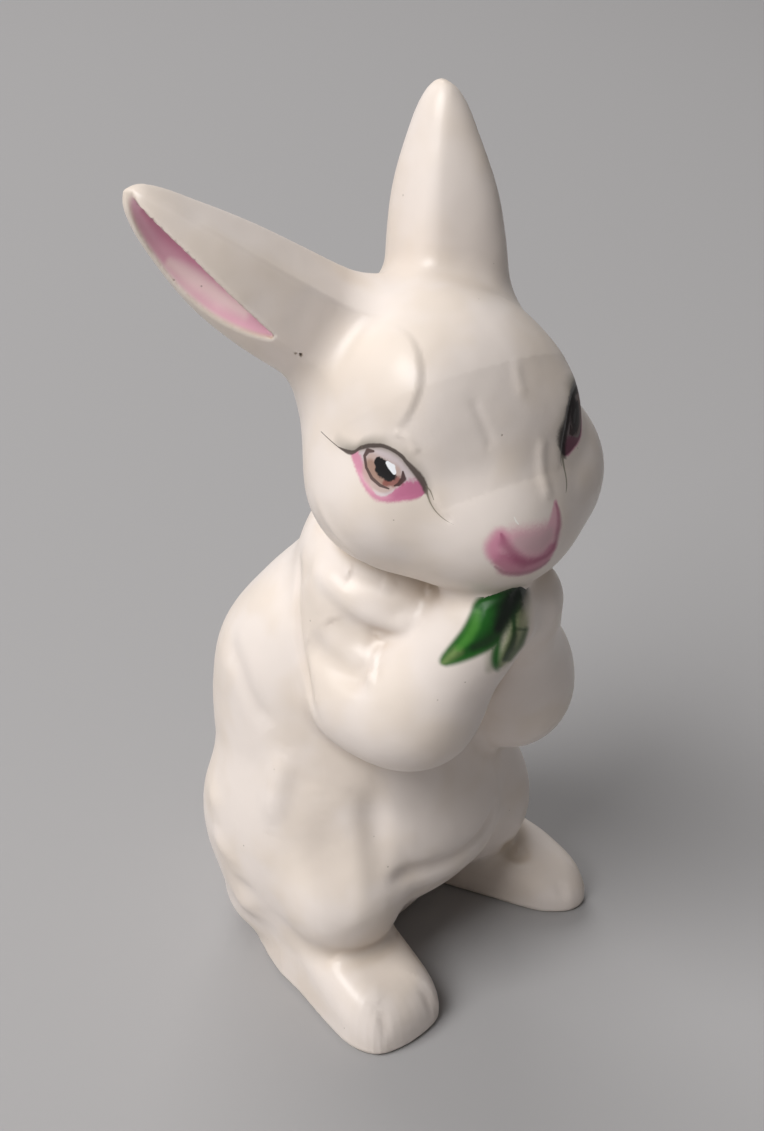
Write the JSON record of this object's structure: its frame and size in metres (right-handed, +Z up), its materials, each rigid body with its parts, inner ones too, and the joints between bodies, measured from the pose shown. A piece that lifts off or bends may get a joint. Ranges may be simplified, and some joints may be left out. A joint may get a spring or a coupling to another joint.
{
  "type": "rabbit figurine",
  "caption": "Glazed ceramic rabbit sitting upright with its forepaws at its mouth and a leaf between them, one ear up and one ear out to the side.",
  "frame": {"origin": "on the floor below the middle of the body, on the flat underside of the body casting", "axes": "+Z up, the rabbit's body faces -Y, its right side is towards -X"},
  "size_m": [0.0811, 0.0867, 0.1731],
  "materials": {
    "ivory_glaze": "glossy clear glaze over ivory earthenware",
    "leaf_glaze": "glossy clear glaze over green underglaze paint"
  },
  "bodies": {
    "root": {"body_casting": "ivory_glaze", "head_casting": "ivory_glaze", "right_ear": "ivory_glaze", "left_ear": "ivory_glaze", "right_foreleg": "ivory_glaze", "left_foreleg": "ivory_glaze", "right_hind_foot": "ivory_glaze", "left_hind_foot": "ivory_glaze", "tail": "ivory_glaze", "leaf_sprig": "leaf_glaze"}
  },
  "joints": []
}
